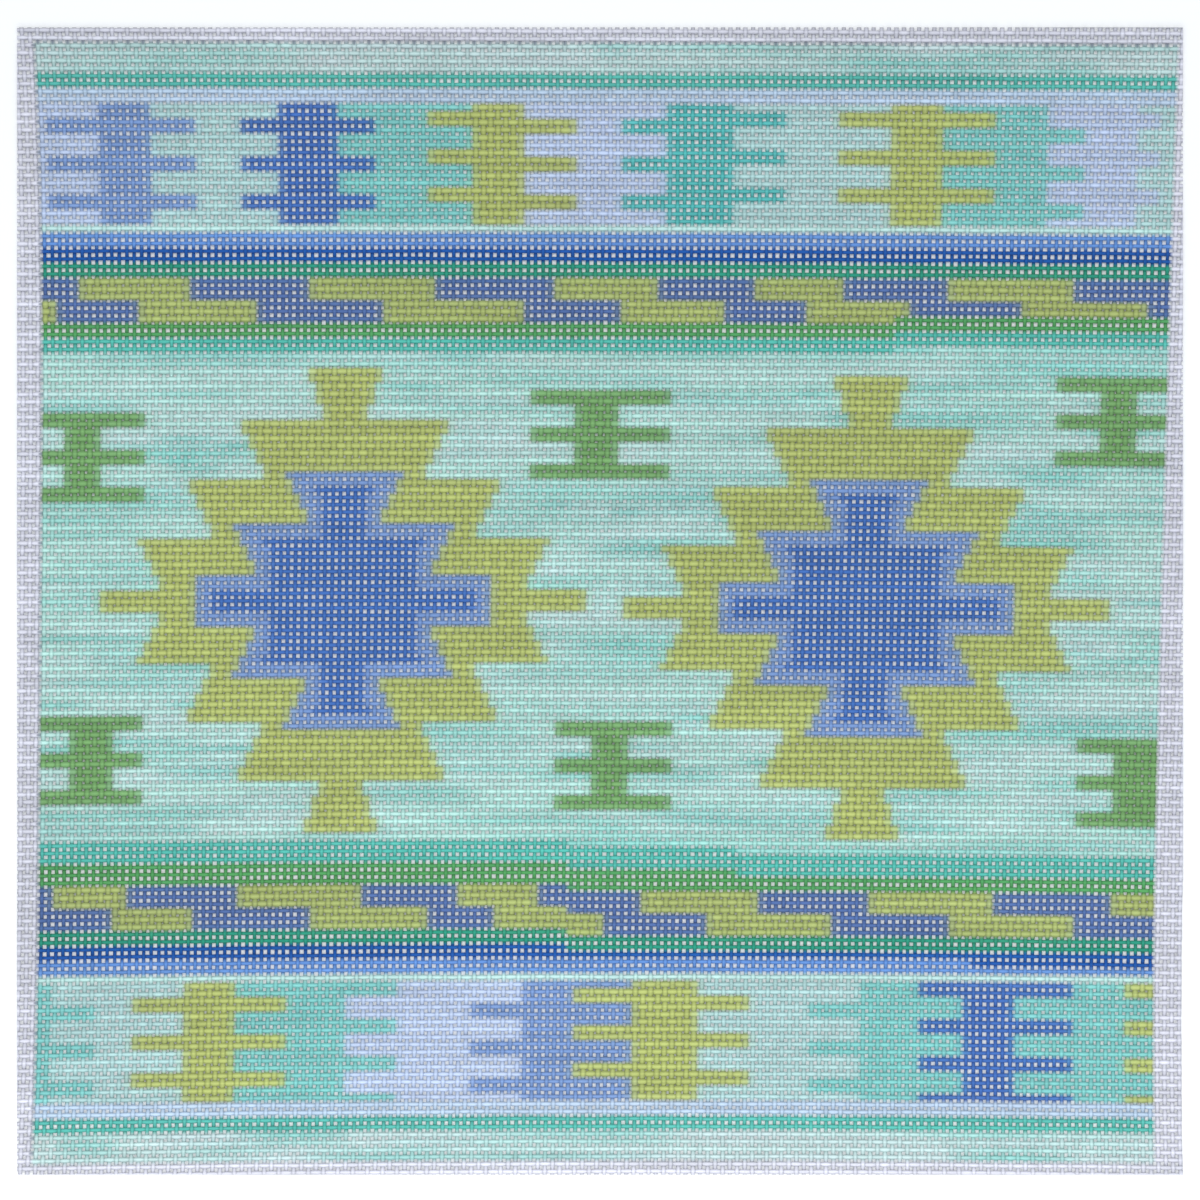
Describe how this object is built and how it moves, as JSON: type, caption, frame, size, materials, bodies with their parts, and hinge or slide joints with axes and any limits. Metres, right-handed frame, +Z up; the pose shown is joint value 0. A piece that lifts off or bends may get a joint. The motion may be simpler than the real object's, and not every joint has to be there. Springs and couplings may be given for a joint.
{
  "type": "needlepoint canvas panel",
  "caption": "Flat rectangular cut of open evenweave needlepoint canvas, hand painted with a kilim design of stripes, combs and two stepped medallions, with a bare margin.",
  "frame": {"origin": "middle of the underside, on the surface the cloth lies on", "axes": "+Z up out of the painted face, +Y towards the top edge of the design, +X to its right"},
  "size_m": [0.3068, 0.3018, 0.0008],
  "materials": {
    "painted_canvas": "matt hand paint in aqua, lime, green and blue over sized white cotton threads"
  },
  "bodies": {
    "root": {"canvas_panel": "painted_canvas"}
  },
  "joints": []
}
